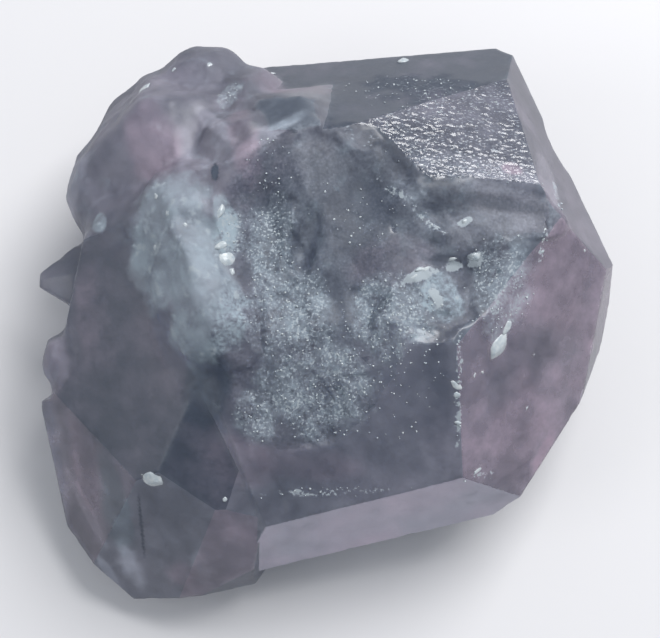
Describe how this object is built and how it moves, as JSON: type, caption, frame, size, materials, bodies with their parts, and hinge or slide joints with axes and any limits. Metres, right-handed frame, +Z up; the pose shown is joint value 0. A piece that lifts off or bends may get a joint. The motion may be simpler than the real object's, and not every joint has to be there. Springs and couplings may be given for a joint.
{
  "type": "celestine crystal",
  "caption": "Loose pale blue-grey celestine crystal with flat faces, a rough broken crest, a lumpy frosted side and a flat cleavage face it rests on.",
  "frame": {"origin": "bottom centre of the box around the crystal, on the surface it rests on", "axes": "+Z up through the broken crest, the way it is looked at; +Y towards the back bevel and the lumpy crown; +X towards the clear right-hand face"},
  "size_m": [0.0328, 0.0318, 0.016],
  "materials": {
    "celestine": "see-through blue-grey crystal with hazy veils, frosted lumps, a finely pitted sparkling face and small chalky crusts"
  },
  "bodies": {
    "root": {"celestine_crystal": "celestine"}
  },
  "joints": []
}
